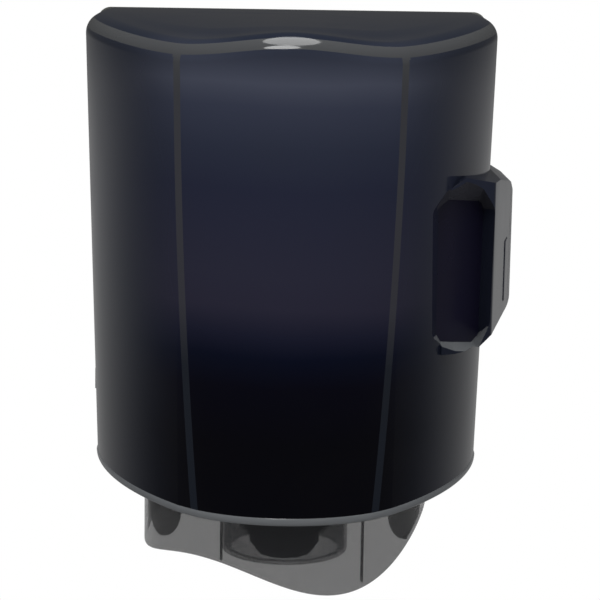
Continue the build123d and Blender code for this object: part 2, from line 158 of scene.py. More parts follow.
def straight(start, end, steps):
    return [tuple(a + (b - a) * i / steps for a, b in zip(start, end)) for i in range(steps)]


def heading(angle):
    return Vector((math.cos(angle), math.sin(angle)))


def coverPlan(z, inset, backY):
    # outline at height z, from the back on the user's right round the front to the back on the left
    c = cover
    t = (z - c["rim"]) / (c["top"] - c["rim"])
    half = c["halfRim"] + (c["halfTop"] - c["halfRim"]) * t
    depth = c["depthRim"] + (c["depthTop"] - c["depthRim"]) * t
    crease = c["creaseTop"] - (c["creaseTop"] - c["creaseRim"]) * (1 - t) ** 2
    radius = c["bendRim"] + (c["bendTop"] - c["bendRim"]) * t
    low = max(0.0, (c["wedgeStart"] - z) / (c["wedgeStart"] - c["rim"]))
    wedge = c["wedgeTop"] + (c["wedgeRim"] - c["wedgeTop"]) * low
    turn = math.asin(crease / radius)
    a = Vector((crease, radius - math.sqrt(radius**2 - crease**2) - depth))
    b = a + c["band"] * heading(turn + math.radians(c["bandTurn"]))
    w = b + wedge * heading(turn + math.radians(c["wedgeTurn"]))
    d = Vector((half, c["cornerY"]))
    chord = math.atan2(d.y - w.y, d.x - w.x)
    m = (w + d) / 2 + c["bulge"] * Vector((math.sin(chord), -math.cos(chord)))

    def moved(point, angle):
        return (point.x - inset * math.sin(angle), point.y + inset * math.cos(angle))

    step = math.radians(c["creaseTurn"])
    right = {
        "crease": moved(a, turn + step), "band": moved(b, turn + 3 * step),
        "wedge": moved(w, turn + 5 * step), "side": moved(m, chord),
        "corner": (d.x - inset, d.y), "back": (d.x - inset, backY),
    }
    left = {name: (-x, y) for name, (x, y) in right.items()}
    points = straight(right["back"], right["corner"], c["flankSteps"])
    points += arcThrough(right["corner"], right["side"], right["wedge"], c["sideSteps"])
    points += straight(right["wedge"], right["band"], 2) + straight(right["band"], right["crease"], 1)
    points += arcThrough(right["crease"], (0.0, inset - depth), left["crease"], c["frontSteps"])
    points += straight(left["crease"], left["band"], 1) + straight(left["band"], left["wedge"], 2)
    points += arcThrough(left["wedge"], left["side"], left["corner"], c["sideSteps"])
    points += straight(left["corner"], left["back"], c["flankSteps"]) + [left["back"]]
    return points


def creaseColumns():
    # places in the outline where the surface folds: wedge, band and crease on both sides
    wedge = cover["flankSteps"] + cover["sideSteps"]
    right = [wedge, wedge + 2, wedge + 3]
    last = 2 * right[2] + cover["frontSteps"]
    return right + [last - i for i in right]


def topHeight(x, y):
    c = cover
    bell = math.exp(-((x / c["crownWidth"]) ** 2))
    return c["top"] - (y / c["depthTop"]) ** 2 * (c["fall"] - c["crown"] * bell)


def coverBody(inset, backY, low, rounding):
    # closed body: a wall that follows the outline, a rounded edge, and the falling top
    c = cover
    bm = bmesh.new()
    steps = c["wallSteps"]
    heights = [low + (c["wallTop"] - low) * i / steps for i in range(steps + 1)]
    pulls = [0.0] * len(heights)
    if inset == 0:
        # the lower edge is rounded in, and then stands out as a bead
        share = [k / c["beadSteps"] for k in range(c["beadSteps"] + 1)]
        heights = [low + c["beadHeight"] * t for t in share] + heights[1:]
        pulls = [c["rimRound"] * max(0.0, 1 - 3 * t) ** 2 - c["bead"] * math.sin(math.pi * t) ** 0.7
                 for t in share]
        pulls += [0.0] * (len(heights) - len(pulls))
    rings = []
    for z, pull in zip(heights, pulls):
        rings.append([(x, y, z) for x, y in coverPlan(z, inset + pull, backY)])
    upper = coverPlan(c["topPlan"], inset, backY)
    for k in range(c["roundSteps"] + 1):
        angle = quarterTurn * k / c["roundSteps"]
        pull, drop = rounding * (1 - math.cos(angle)), rounding * (1 - math.sin(angle))
        ring = []
        for place, (x, y) in zip(upper, coverPlan(c["topPlan"], inset + pull, backY)):
            ring.append((x, y, topHeight(*place) - inset - drop))
        rings.append(ring)
    flat = rings[-1]
    for k in range(1, c["topSteps"]):
        keep = 1 - k / c["topSteps"]
        blend = min(1, k / 3)
        ring = []
        for x, y, z in flat:
            px, py = x * keep, (y - backY) * keep + backY
            ring.append((px, py, (topHeight(px, py) - inset) * blend + z * (1 - blend)))
        rings.append(ring)
    loops = [ringOfVerts(bm, ring) for ring in rings]
    bridgeLoops(bm, loops, closed=False)
    centre = bm.verts.new((0, backY * mm, (topHeight(0, backY) - inset) * mm))
    for a, b in zip(loops[-1], loops[-1][1:]):
        bm.faces.new((a, b, centre))
    back = [loop[0] for loop in loops] + [centre] + [loop[-1] for loop in reversed(loops)]
    bm.faces.new(back)
    bm.faces.new(loops[0])
    for lower, higher in zip(loops[: len(heights) + c["roundSteps"]], loops[1:]):
        for i in creaseColumns():
            edge = bm.edges.get((lower[i], higher[i]))
            if edge:
                edge.smooth = False
    return bm


def effectGroup(name, inputs, outputs):
    # colours come in as tuples; an output is a colour only where it is called one
    group = bpy.data.node_groups.new(name, "ShaderNodeTree")
    for title, value in inputs.items():
        kind = "NodeSocketColor" if isinstance(value, tuple) else "NodeSocketFloat"
        group.interface.new_socket(title, in_out="INPUT", socket_type=kind).default_value = value
    for title in outputs:
        kind = "NodeSocketColor" if title == "Color" else "NodeSocketFloat"
        group.interface.new_socket(title, in_out="OUTPUT", socket_type=kind)
    return group, addNode(group, "NodeGroupInput").outputs, addNode(group, "NodeGroupOutput")


def objectPlace(tree):
    return addNode(tree, "ShaderNodeTexCoord").outputs["Object"]


def noise(tree, place, scale, detail, distortion=0.0):
    sockets = {"Vector": place, "Scale": scale, "Detail": detail, "Distortion": distortion}
    return output(tree, "ShaderNodeTexNoise", sockets)


def ranged(tree, value, start, end, low=0.0, high=1.0, **settings):
    sockets = {"Value": value, "From Min": start, "From Max": end, "To Min": low, "To Max": high}
    return output(tree, "ShaderNodeMapRange", sockets, **settings)


def mixedColour(tree, share, first, second):
    sockets = {"Factor": share, "A": first, "B": second}
    return addNode(tree, "ShaderNodeMix", sockets, data_type="RGBA").outputs["Result"]


def eased(tree, value, start, end):
    return ranged(tree, value, start, end, interpolation_type="SMOOTHSTEP")


def buildHandling():
    # faint smears and fine wipe marks, as a change of roughness and a height
    group, given, put = effectGroup(
        "handlingMarks", {"Scale": 14.0, "Smooth": 0.08, "Rough": 0.2}, ("Roughness", "Height"))
    place = objectPlace(group)
    smears = noise(group, place, given["Scale"], 5, 1.2)
    stretched = output(group, "ShaderNodeMapping", {"Vector": place, "Scale": (60, 60, 900)})
    feed(group, put, {
        "Roughness": ranged(group, smears, 0.42, 0.75, given["Smooth"], given["Rough"]),
        "Height": noise(group, stretched, 1.0, 3)})
    return group


def buildMoulding():
    # spark-eroded grain of a moulded surface: a shade change and a height
    group, given, put = effectGroup(
        "mouldedGrain",
        {"Grain": 900.0, "Base": (0.05, 0.05, 0.05, 1), "Worn": (0.09, 0.09, 0.09, 1), "Rough": 0.45},
        ("Color", "Roughness", "Height"))
    place = objectPlace(group)
    share = ranged(group, noise(group, place, 22, 6), 0.45, 0.7)
    feed(group, put, {
        "Color": mixedColour(group, share, given["Base"], given["Worn"]),
        "Roughness": calc(group, "MULTIPLY_ADD", share, 0.12, given["Rough"]),
        "Height": noise(group, place, given["Grain"], 2)})
    return group


handlingMarks = buildHandling()
mouldedGrain = buildMoulding()


def newMaterial(name):
    material = bpy.data.materials.new(name)
    material.use_nodes = True
    material.node_tree.nodes.clear()
    return material, material.node_tree


def dressSkin(tree, height, strength, distance, sockets):
    # the surface itself, with a bump from the effect's height
    bump = {"Strength": strength, "Distance": distance, "Height": height}
    sockets["Normal"] = output(tree, "ShaderNodeBump", bump)
    addNode(tree, "ShaderNodeOutputMaterial", {0: output(tree, "ShaderNodeBsdfPrincipled", sockets)})


def handled(tree, smooth, rough):
    sockets = {"Smooth": smooth, "Rough": rough}
    return addNode(tree, "ShaderNodeGroup", sockets, node_tree=handlingMarks).outputs


def moulded(name, base, worn, rough=0.4, grain=900.0, bump=0.1, metallic=0.0):
    material, tree = newMaterial(name)
    sockets = {"Grain": grain, "Base": (*base, 1), "Worn": (*worn, 1), "Rough": rough}
    effect = addNode(tree, "ShaderNodeGroup", sockets, node_tree=mouldedGrain).outputs
    dressSkin(tree, effect["Height"], bump, 0.0002, {
        "Base Color": effect["Color"], "Roughness": effect["Roughness"], "Metallic": metallic})
    return material


def clearPlastic(name, base, alpha, smooth, rough):
    material, tree = newMaterial(name)
    marks = handled(tree, smooth, rough)
    deep = (base[0] * 0.8, base[1] * 0.8, base[2] * 0.82, 1)
    dressSkin(tree, marks["Height"], 0.03, 0.0001, {
        "Base Color": mixedColour(tree, marks["Height"], (*base, 1), deep),
        "Roughness": marks["Roughness"], "Alpha": alpha})
    return material


# painted light and shade by height in metres: the front is painted lighter near its top and dark low down,
# the sides get a softer painted fall, and the lit edges get painted highlights
coverPaintedLight = {
    "front": [
        (-0.098, (0.0003, 0.0002, 0.002)), (-0.065, (0.0005, 0.0004, 0.0045)),
        (-0.047, (0.0012, 0.0026, 0.012)), (-0.034, (0.009, 0.010, 0.025)), (-0.018, (0.022, 0.021, 0.040)),
        (0.0, (0.023, 0.023, 0.043)), (0.05, (0.018, 0.021, 0.043)), (0.073, (0.024, 0.029, 0.052)),
        (0.097, (0.037, 0.043, 0.071)), (0.11, (0.060, 0.067, 0.098)), (0.134, (0.014, 0.018, 0.031))],
    "side": [
        (-0.1, (0.008, 0.010, 0.018)), (-0.03, (0.013, 0.016, 0.027)), (0.03, (0.015, 0.018, 0.032)),
        (0.11, (0.018, 0.021, 0.035)), (0.134, (0.012, 0.016, 0.028))],
    "edge": [
        (-0.14, (0.009, 0.012, 0.019)), (-0.055, (0.012, 0.015, 0.022)), (-0.02, (0.040, 0.040, 0.050)),
        (0.1, (0.046, 0.047, 0.055)), (0.142, (0.070, 0.073, 0.075))],
    "span": 0.15, "drift": 0.012, "frontX": 0.054, "sideX": 0.105, "smooth": 0.07, "rough": 0.17,
}


def heightRamp(tree, share, stops):
    node = addNode(tree, "ShaderNodeValToRGB")
    for _ in range(len(stops) - 2):
        node.color_ramp.elements.new(0.5)
    for stop, (z, colour) in zip(node.color_ramp.elements, stops):
        stop.position = (z + coverPaintedLight["span"]) / (2 * coverPaintedLight["span"])
        stop.color = (*colour, 1)
    feed(tree, node, {0: share})
    return node.outputs[0]


def coverPlastic(name, front, side):
    # smoked plastic with painted shade low on the front and painted light near the top, strongest across
    # the middle of the front
    s = coverPaintedLight
    material, tree = newMaterial(name)
    place = objectPlace(tree)
    x, _, z = addNode(tree, "ShaderNodeSeparateXYZ", {0: place}).outputs
    height = calc(tree, "MULTIPLY_ADD", noise(tree, place, 9, 2), s["drift"], z)
    share = ranged(tree, height, s["drift"] / 2 - s["span"], s["drift"] / 2 + s["span"])
    # the front's painted light and shade give way to the sides' towards the creases
    across = eased(tree, calc(tree, "ABSOLUTE", x), s["frontX"], s["sideX"])
    marks = handled(tree, s["smooth"], s["rough"])
    shade = mixedColour(tree, across, heightRamp(tree, share, s[front]), heightRamp(tree, share, s[side]))
    dressSkin(tree, marks["Height"], 0.02, 0.0001, {"Base Color": shade, "Roughness": marks["Roughness"]})
    return material


finishes = {
    "cover": coverPlastic("coverPaintedLight", "front", "side"),
    # painted highlight for the bands beside the front, the rounded top edge and the pocket's upper wall
    "edge": coverPlastic("paintedEdgeHighlight", "edge", "edge"),
    # painted shade: the floor of the finger pocket is darker than the rest of the cover
    "pocket": clearPlastic("pocketFloorShade", (0.010, 0.009, 0.024), 1.0, 0.25, 0.4),
    # painted highlight in light grey for the bead at the rim and the pocket's upward-facing lower wall
    "rim": clearPlastic("paintedGreyHighlight", (0.15, 0.158, 0.165), 1.0, 0.12, 0.25),
    "housing": moulded("housingPlastic", (0.11, 0.113, 0.102), (0.13, 0.133, 0.122)),
    "dark": moulded("trayPlastic", (0.022, 0.023, 0.026), (0.035, 0.036, 0.038)),
    "skirt": clearPlastic("smokedSkirt", (0.04, 0.041, 0.043), 0.62, 0.08, 0.2),
    "frosted": clearPlastic("frostedCup", (0.05, 0.058, 0.072), 0.4, 0.2, 0.35),
    "tip": moulded("nozzleRubber", (0.004, 0.006, 0.012), (0.01, 0.012, 0.018), 0.35, 700),
    "steel": moulded("zincSteel", (0.62, 0.63, 0.64), (0.372, 0.378, 0.3712), 0.28, 1500, 0.15, 1),
}
nodeFinish = {
    "housing": ("rear_housing", "latch_block"), "cover": ("cover", "latch_button"), "tip": ("nozzle_tip",),
    "dark": ("latch_keeper", "tray", "nozzle_ring", "latch_frame", "latch_hooks"), "skirt": ("skirt",),
    "frosted": ("nozzle_cup", "nozzle_funnel"),
}


def lookUp(table, node, otherwise):
    return next((key for key, nodes in table.items() if node in nodes), otherwise)


for name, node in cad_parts.items():
    finish = finishes[lookUp(nodeFinish, name, "steel")]
    for slot in node.material_slots:
        slot.material = finish
    if not node.material_slots:
        node.data.materials.append(finish)
print("finishes made")


# outlines of the boss and of the finger pocket in it, seen from the front
boss = {
    "seamY": -63.0, "frontY": -215.0, "behindY": 20.0, "inner": (60, -140), "left": (92.0, -188.0),
    "nose": (123.0, -171.0), "widest": (147.0, -47.0), "noseInset": 1.2, "noseRound": 7.0, "corner": 4.5,
    "edge": 1.6, "edgeFromX": 88, "edgeAngle": 35, "insetFromX": 100, "roundFromX": 110, "reachZ": 100,
    "outline": [(60, 16), (83, 34), (94, 44), (104.5, 51), (129, 46), (144, 37), (147, 30),
                (147, -45), (123, -45), (115, -52), (100, -54.5), (60, -54.5)],
}
pocket = {
    "line": ((90.4, -183.0), (119.0, -153.5)), "reach": 16.0, "corners": (3.0, 8.0), "skin": 2.5,
    "steps": 8,
    "floor": [(-2.5, -42.3), (1.4, -47.3), (12.7, -49.0), (30.9, -51.3), (37.5, -47.2),
              (39.0, 29.6), (35.4, 34.7), (23.0, 35.9), (6.1, 37.8), (-3.0, 33.4)],
    "mouth": [(-30.6, -41.0), (-13.0, -54.0), (0.0, -57.0), (18.8, -54.5), (29.6, -37.0),
              (32.0, 30.9), (19.7, 46.5), (2.2, 59.7), (-13.9, 54.5), (-29.9, 33.6)],
}


def roundedOutline(points, radius, chosen, steps=4):
    # an outline with an arc in each chosen corner
    result = []
    for i, point in enumerate(points):
        if not chosen(point):
            result.append(point)
            continue
        here = Vector(point)
        before, after = Vector(points[i - 1]) - here, Vector(points[(i + 1) % len(points)]) - here
        half = before.angle(after) / 2
        middle = here + (before.normalized() + after.normalized()).normalized() * radius / math.sin(half)
        reach = radius / math.tan(half)
        first = here + before.normalized() * reach - middle
        last = here + after.normalized() * reach - middle
        sweep = first.angle_signed(last)
        for k in range(steps + 1):
            result.append(tuple(middle + Matrix.Rotation(-sweep * k / steps, 2) @ first))
    return result


def evaluatedMesh(piece):
    bpy.context.view_layer.update()
    return bpy.data.meshes.new_from_object(piece.evaluated_get(bpy.context.evaluated_depsgraph_get()))


def combine(target, how, tools):
    for tool in tools:
        change = target.modifiers.new(how, "BOOLEAN")
        change.operation, change.object, change.solver = how, tool, "EXACT"
        result = evaluatedMesh(target)
        target.modifiers.clear()
        old = target.data
        target.data = result
        bpy.data.meshes.remove(old)
        bpy.data.objects.remove(tool)


def cut(target, *tools):
    combine(target, "DIFFERENCE", tools)


def fuse(target, *tools):
    combine(target, "UNION", tools)


def clip(target, tool):
    combine(target, "INTERSECT", [tool])


def boxTool(low, high):
    bm = bmesh.new()
    bmesh.ops.create_cube(bm, size=1)
    for vert in bm.verts:
        vert.co = Vector(((high[i] + low[i]) / 2 + vert.co[i] * (high[i] - low[i]) for i in range(3)))
        vert.co *= mm
    return rawPiece("boxTool", bm)


def prism(name, points, axis, low, high):
    # an outline drawn across one axis, made into a closed solid along it
    bm = bmesh.new()
    loops = []
    for level in (low, high):
        loops.append(ringOfVerts(bm, [(*point[:axis], level, *point[axis:]) for point in points]))
    bridgeLoops(bm, loops, capped=True)
    return rawPiece(name, bm)


def rodTool(centre, radius, low, high, axis=2, steps=32):
    turns = [2 * math.pi * k / steps for k in range(steps)]
    points = [(centre[0] + radius * math.cos(turn), centre[1] + radius * math.sin(turn)) for turn in turns]
    return prism("rodTool", points, axis, low, high)


def softenEdges(solid, size, backY, frontY):
    # the boss's own outer edges, away from the seam and from the body
    bm = bmesh.new()
    bm.from_mesh(solid.data)
    bmesh.ops.remove_doubles(bm, verts=bm.verts, dist=1e-5)
    edges = []
    for edge in bm.edges:
        middle = (edge.verts[0].co + edge.verts[1].co) / 2 / mm
        within = middle.x > boss["edgeFromX"] and frontY + 0.5 < middle.y < backY - 0.5
        if within and edge.is_manifold and edge.calc_face_angle() > math.radians(boss["edgeAngle"]):
            edges.append(edge)
    bmesh.ops.bevel(
        bm, geom=edges, offset=size * mm, segments=3, profile=0.5, affect="EDGES", clamp_overlap=True)
    bm.to_mesh(solid.data)
    bm.free()


def bossSolid(inset, backY, frontY, rounding=0.0):
    b = boss
    nose = (b["nose"][0] - inset * b["noseInset"], b["nose"][1] + inset)
    wide = (b["widest"][0] - inset, b["widest"][1])
    left = (b["left"][0], b["left"][1] + inset)
    plan = [b["inner"], left, nose, wide, (wide[0], b["behindY"]), (b["inner"][0], b["behindY"])]
    plan = roundedOutline(plan, b["noseRound"] - inset, lambda p: p == nose, 6)
    face = [(x - (inset if x > b["insetFromX"] else 0), z - inset * math.copysign(1, z))
            for x, z in b["outline"]]
    face = roundedOutline(face, b["corner"] - max(inset, 0), lambda p: p[0] > b["roundFromX"])
    solid = prism("bossPlan", plan, 2, -b["reachZ"], b["reachZ"])
    clip(solid, prism("bossFace", face, 1, frontY, backY))
    if rounding:
        softenEdges(solid, rounding, backY, frontY)
    return solid


def widened(points, by):
    # a convex outline moved outwards all round
    corners = [Vector(point) for point in points]
    result = []
    for before, here, after in zip(corners[-1:] + corners[:-1], corners, corners[1:] + corners[:1]):
        first, second = (here - before).normalized(), (after - here).normalized()
        out = Vector((first.y + second.y, -first.x - second.x))
        result.append(tuple(here + out * (by / (1 + first.dot(second)))))
    return result


def pocketSolid(grow):
    # from the outline of the upright floor to a wider one in front of the surface
    p = pocket
    (ax, ay), (bx, by) = p["line"]
    run = Vector((bx - ax, by - ay, 0)).normalized()
    front = Vector((run.y, -run.x, 0))
    bm = bmesh.new()
    rings = []
    for name, depth, corner in (("floor", -grow, p["corners"][0]), ("mouth", p["reach"], p["corners"][1])):
        flat = roundedOutline(widened(p[name], grow), corner + grow, lambda _: True, 5)
        start = Vector((ax, ay, 0)) + front * depth
        rings.append([start + run * u + Vector((0, 0, v)) for u, v in flat])
    loops = []
    for k in range(p["steps"] + 1):
        loops.append(ringOfVerts(bm, [low.lerp(high, k / p["steps"]) for low, high in zip(*rings)]))
    bridgeLoops(bm, loops, capped=True)
    return rawPiece("pocketForm", bm)


latch = {
    "buttonY": -88.0, "buttonZ": -17.0, "width": 15.4, "height": 39.4, "gap": 0.3, "travel": 4.0,
    "buttonX": (130, 160), "postX": 121.0, "postZ": (-35.9, 16.0), "postY": -160.0, "post": 3.4,
    "postHole": 7,
    "frame": ((112.5, -112.5, -41.9), (129.0, -66.0, 22.0)), "sheet": 2.5, "arm": 1.7, "armBack": -78.0,
    "pegZ": (-4.5, -29.5), "peg": 2.2, "pegEnd": 119.0, "sharpAngle": 25,
    "blockX": 112.0, "blockWall": 3.0, "pillar": 4.2, "pillarY": -20.0, "screwDepth": 12,
    "keeperX": 115.3, "keeperY": (-60.0, -57.5), "slotX": (122.0, 133.3), "slotZ": (-1.0, -27.0),
    "slotHalf": 6.5, "keeperScrews": ((122.0, 26.0), (122.0, -37.5)),
    "blockScrews": ((134.0, 22.0), (135.0, -37.5)),
}
hinge = {"x": -123.5, "y": -12.0, "centres": (103.0, -103.0), "barrel": 4.0, "knuckle": 14.0,
         "arm": (-129, -38), "notch": 20.5, "notchX": (-140, -119), "notchY": (-20, 0),
         "pin": 1.6, "pinPlay": 0.08}
screw = {"shank": 1.5, "core": 1.15, "head": 2.8, "headHeight": 1.8, "slot": 0.7, "slotLength": 3.2,
         "slotDepth": 1.6, "play": 0.1, "headPlay": 0.2}
tray = {"z": -137.0, "screwInset": 6.7, "flankScrewY": -35.0, "pillar": 4.2, "rollY": -125.0}


def makeCover():
    c = cover
    outer = rawPiece("cover", coverBody(0, c["backY"], c["rim"], c["topRound"]))
    fuse(outer, bossSolid(0, boss["seamY"], boss["frontY"], boss["edge"]))
    inside = coverBody(c["wall"], 5, c["rim"] + c["lipHeight"], c["topRound"] - c["wall"])
    hollow = rawPiece("hollow", inside)
    fuse(hollow, bossSolid(c["wall"], boss["seamY"] + 1, boss["frontY"]))
    cut(hollow, pocketSolid(pocket["skin"]))
    cut(outer, hollow)
    mouth = bmesh.new()
    loops = []
    for z in (c["rim"] - 1, c["rim"] + 4):
        loops.append(ringOfVerts(mouth, [(x, y, z) for x, y in coverPlan(z, c["wall"] + c["lip"], 5)]))
    bridgeLoops(mouth, loops, capped=True)
    cut(outer, rawPiece("mouth", mouth))
    cut(outer, bossSolid(-0.5, 5, boss["seamY"]))
    cut(outer, pocketSolid(0))
    halfWide, halfHigh = latch["width"] / 2 + latch["gap"], latch["height"] / 2 + latch["gap"]
    (x0, x1), y, z = latch["buttonX"], latch["buttonY"], latch["buttonZ"]
    cut(outer, boxTool((x0, y - halfWide, z - halfHigh), (x1, y + halfWide, z + halfHigh)))
    (x0, x1), (y0, y1) = hinge["notchX"], hinge["notchY"]
    for z in hinge["centres"]:
        cut(outer, boxTool((x0, y0, z - hinge["notch"]), (x1, y1, z + hinge["notch"])))
    return outer


def keepCreases(piece, angle):
    # sharp where faces meet at a real corner, and along the creases that were marked before the cuts
    marked = piece.data.attributes.get("sharp_edge")
    creases = {i for i, item in enumerate(marked.data) if item.value} if marked else set()
    piece.data.set_sharp_from_angle(angle=math.radians(angle))
    for i in creases:
        piece.data.edges[i].use_edge_sharp = True


coverPiece = makeCover()
coverPiece.name = "coverShell"
keepCreases(coverPiece, cover["sharpAngle"])
print("cover made:", len(coverPiece.data.polygons), "faces")


def trayScrewPlaces():
    plan = coverPlan(cover["rim"], cover["wall"] + tray["screwInset"], cover["backY"])
    middle = plan[cover["flankSteps"] + cover["sideSteps"] // 2]
    flank = (cover["halfRim"] - cover["wall"] - tray["screwInset"], tray["flankScrewY"])
    half = [flank, middle, plan[creaseColumns()[2]]]
    return half + [(-x, y) for x, y in half]


def addCoverDetails():
    # knuckles, posts and screw pillars behind the shell
    rim, top, s = cover["rim"], tray["z"], screw
    for place in trayScrewPlaces():
        fuse(coverPiece, rodTool(place, tray["pillar"], rim + cover["lipHeight"] - 0.2, top))
        cut(coverPiece, rodTool(place, s["shank"] + s["play"], rim - 1, top + 1),
            rodTool(place, s["head"] + s["headPlay"], rim - 1, rim + s["headHeight"]))
    frameY = latch["frame"][0][1]
    for z in latch["postZ"]:
        place = (latch["postX"], z)
        post = rodTool(place, latch["post"], latch["postY"], frameY, 1)
        cut(post, pocketSolid(latch["gap"]))
        fuse(coverPiece, post)
        cut(coverPiece, rodTool(place, s["shank"], frameY - latch["postHole"], frameY + 1, 1))
    h = hinge
    for z in h["centres"]:
        half, axis = h["knuckle"] / 2, (h["x"], h["y"])
        arm = boxTool((*h["arm"], z - half), (h["x"] + h["barrel"], h["y"], z + half))
        fuse(arm, rodTool(axis, h["barrel"], z - half, z + half))
        cut(arm, rodTool(axis, h["pin"] + h["pinPlay"], z - 20, z + 20))
        fuse(coverPiece, arm)


# where the shell's faces get a painted highlight or painted shade in place of the cover's finish
paintedLightZones = {
    "topZ": 112, "topTilt": (0.3, 0.8), "bandY": -180, "bandSlack": 0.2, "bandTilt": 0.5, "centreY": -100,
    "pocketAcross": (-12, 41), "pocketZ": (-58, 50), "pocketDepth": (-0.3, 14), "floorDepth": 0.3,
    "floorFacing": 0.97, "wallTilt": 0.35, "lowerWallZ": -40, "upperWallZ": 28,
}


def markPaintedLight(mesh):
    # the bands beside the front, the rounded top edge, the bead at the rim and the pocket's upper and lower
    # walls get painted highlights, and the floor of the finger pocket gets painted shade
    c, zone, slack = cover, paintedLightZones, paintedLightZones["bandSlack"]
    columns = creaseColumns()
    (ax, ay), (bx, by) = pocket["line"]
    run = Vector((bx - ax, by - ay)).normalized()
    front = Vector((run.y, -run.x))

    def inside(value, name):
        low, high = zone[name]
        return low < value < high

    for face in mesh.polygons:
        x, y, z = (value / mm for value in face.center)
        nx, ny, nz = face.normal
        outward = nx * x + ny * (y - zone["centreY"]) > 0
        bead = z < c["rim"] + c["beadHeight"]
        rounded = inside(nz, "topTilt") and z > zone["topZ"] and abs(y - c["backY"]) > 1
        plan = coverPlan(min(z, c["topPlan"]), 0, c["backY"])
        outer, inner = abs(plan[columns[1]][0]), abs(plan[columns[2]][0])
        band = inner - slack < abs(x) < outer + slack and y < zone["bandY"] and nz < zone["bandTilt"]
        u, depth = run.dot((x - ax, y - ay)), front.dot((x - ax, y - ay))
        within = inside(u, "pocketAcross") and inside(z, "pocketZ") and inside(depth, "pocketDepth")
        lowerWall = within and nz > zone["wallTilt"] and z < zone["lowerWallZ"]
        upperWall = within and nz < -zone["wallTilt"] and z > zone["upperWallZ"]
        if within and depth < zone["floorDepth"] and front.dot((nx, ny)) > zone["floorFacing"]:
            face.material_index = 3
        elif lowerWall or (outward and bead):
            face.material_index = 2
        elif upperWall or (outward and (rounded or band)):
            face.material_index = 1


addCoverDetails()
keepCreases(coverPiece, cover["sharpAngle"])
paint(coverPiece, "cover", "edge", "rim", "pocket")
markPaintedLight(coverPiece.data)
print("cover finished:", len(coverPiece.data.polygons), "faces")


def polarPlace(radius, degrees):
    angle = math.radians(degrees)
    return (radius * math.sin(angle), tray["rollY"] - radius * math.cos(angle))


def smoothCopy(node, finish):
    # the frame's own shape with its doubles merged and its flat areas joined
    bm = bmesh.new()
    bm.from_mesh(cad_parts[node].data)
    bmesh.ops.remove_doubles(bm, verts=bm.verts, dist=1e-6)
    bmesh.ops.dissolve_limit(bm, angle_limit=math.radians(0.4), verts=bm.verts, edges=bm.edges)
    piece = meshPiece(node + "Made", bm, 28)
    paint(piece, finish)
    return piece


def geometryTree(name, sizes):
    # a geometry tree with a named input for every size; rotations and places are vectors
    tree = bpy.data.node_groups.new(name, "GeometryNodeTree")
    tree.interface.new_socket("Geometry", in_out="INPUT", socket_type="NodeSocketGeometry")
    for title, value in sizes.items():
        kind = {int: "NodeSocketInt", tuple: "NodeSocketVector"}.get(type(value), "NodeSocketFloat")
        tree.interface.new_socket(title, in_out="INPUT", socket_type=kind).default_value = value
    tree.interface.new_socket("Material", in_out="INPUT", socket_type="NodeSocketMaterial")
    tree.interface.new_socket("Geometry", in_out="OUTPUT", socket_type="NodeSocketGeometry")
    return tree, addNode(tree, "NodeGroupInput").outputs, addNode(tree, "NodeGroupOutput")


def onPoints(tree, points, instance, turn=None):
    sockets = {"Points": points, "Instance": instance}
    if turn is not None:
        sockets["Rotation"] = output(tree, "FunctionNodeEulerToRotation", {0: turn})
    return output(tree, "GeometryNodeInstanceOnPoints", sockets)


def vector(tree, **values):
    return output(tree, "ShaderNodeCombineXYZ", values)


def finishTree(tree, given, put, geometry):
    real = output(tree, "GeometryNodeRealizeInstances", {0: geometry})
    skin = output(tree, "GeometryNodeSetMaterial", {"Geometry": real, "Material": given["Material"]})
    feed(tree, put, {0: skin})
    return tree


def grow(name, tree, values, finish, points, angle=30):
    # runs the tree on a few points and keeps what it makes as a plain mesh
    mesh = bpy.data.meshes.new(name)
    mesh.from_pydata([[c * mm for c in point] for point in points], [], [])
    piece = addObject(name, mesh)
    change = piece.modifiers.new("shape", "NODES")
    change.node_group = tree
    values = dict(values, Material=finishes[finish])
    for item in tree.interface.items_tree:
        if item.item_type == "SOCKET" and item.in_out == "INPUT" and item.name in values:
            change[item.identifier] = values[item.name]
    made = evaluatedMesh(piece)
    piece.modifiers.clear()
    piece.data = made
    bm = bmesh.new()
    bm.from_mesh(made)
    bmesh.ops.remove_doubles(bm, verts=bm.verts, dist=2e-6)
    bmesh.ops.recalc_face_normals(bm, faces=bm.faces)
    bm.to_mesh(made)
    bm.free()
    made.shade_smooth()
    made.set_sharp_from_angle(angle=math.radians(angle))
    return piece


